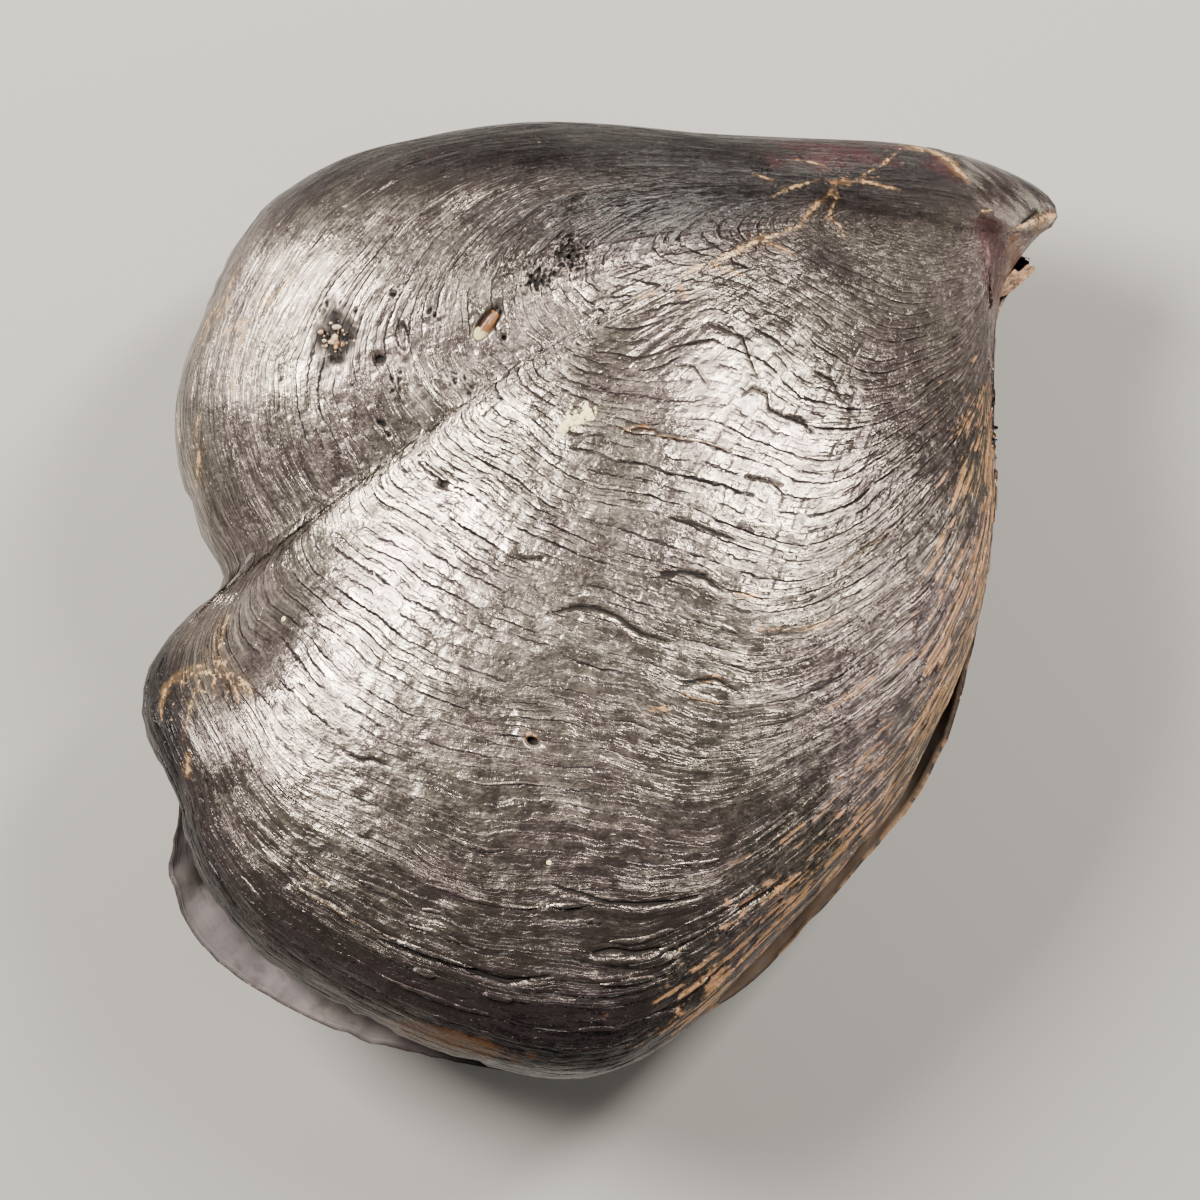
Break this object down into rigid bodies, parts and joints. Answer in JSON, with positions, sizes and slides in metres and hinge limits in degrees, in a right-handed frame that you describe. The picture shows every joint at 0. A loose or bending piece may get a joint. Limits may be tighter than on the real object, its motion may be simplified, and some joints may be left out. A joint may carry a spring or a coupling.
{
  "type": "pen shell",
  "caption": "Paired pen shell: two strongly inflated, hatchet-shaped valves with a furrow and notched margin, closed at the hinge and slightly open below, lying on one valve.",
  "frame": {"origin": "bottom middle of the whole shell's box, on the surface that it lies on", "axes": "+X towards the beaks, +Y towards the hinge edge, +Z out of the right valve, up"},
  "size_m": [0.219, 0.2284, 0.1213],
  "materials": {
    "right_valve": "satin grey-black worn shell in thin growth layers, with rust-tan layer edges",
    "left_valve": "satin grey-black worn shell in thin growth layers, pale grey inside",
    "ligament": "matt, dry, brown-black",
    "lime": "matt chalky cream",
    "clam": "smooth amber brown"
  },
  "bodies": {
    "root": {"right_valve": "right_valve", "left_valve": "left_valve", "hinge_ligament": "ligament", "lime_crust": "lime", "boring_clam": "clam"}
  },
  "joints": []
}
